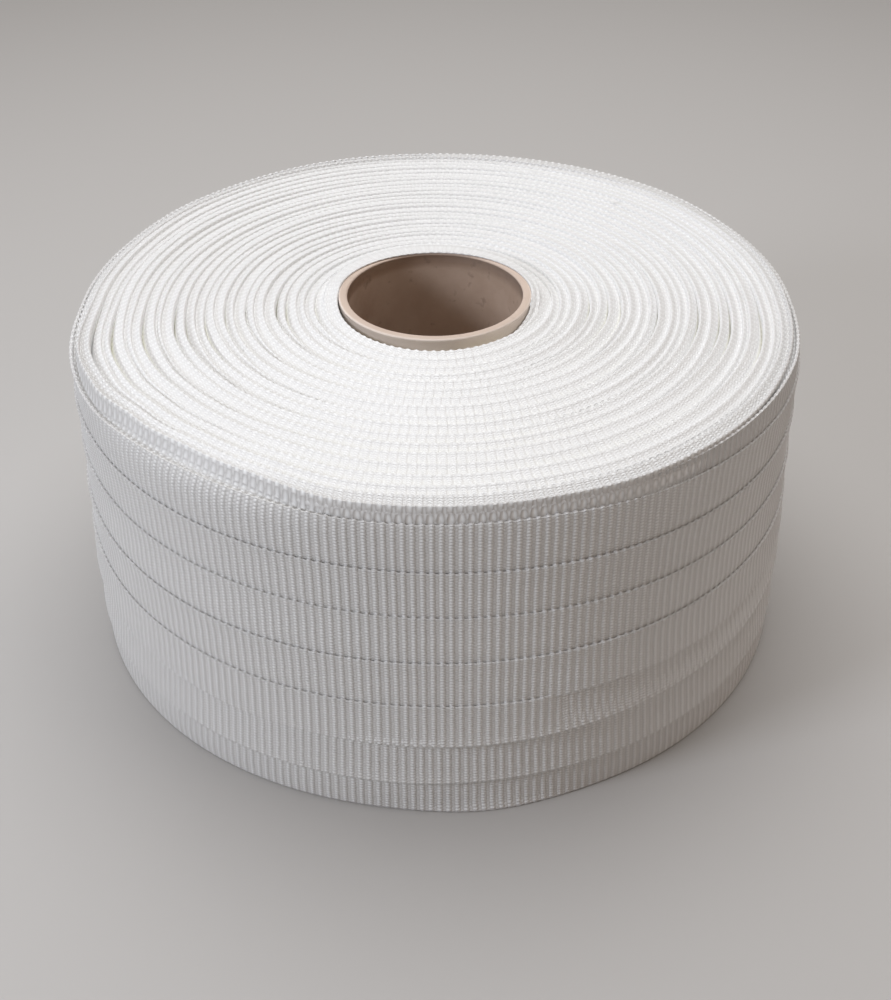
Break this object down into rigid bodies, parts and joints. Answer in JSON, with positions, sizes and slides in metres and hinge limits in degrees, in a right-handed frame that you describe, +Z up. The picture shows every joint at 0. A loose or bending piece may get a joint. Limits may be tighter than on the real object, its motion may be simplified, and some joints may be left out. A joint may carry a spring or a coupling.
{
  "type": "roll of cotton webbing",
  "caption": "Full roll of flat white woven webbing, wound in overlapping bands up and down a cardboard core that is open right through.",
  "frame": {"origin": "on the core's axis, at the level of the surface the roll stands on", "axes": "+Z up along the core's axis; -Y is the front, where the webbing's cut end is tucked in; +X to the right of it"},
  "size_m": [0.3182, 0.3188, 0.1532],
  "materials": {
    "webbing": "white, close warp-faced ribbed weave with a soft sheen",
    "cardboard": "raw spiral-wound paper tube, matt, with small dark flecks"
  },
  "bodies": {
    "root": {"webbing_roll": "webbing", "cardboard_core": "cardboard"}
  },
  "joints": []
}
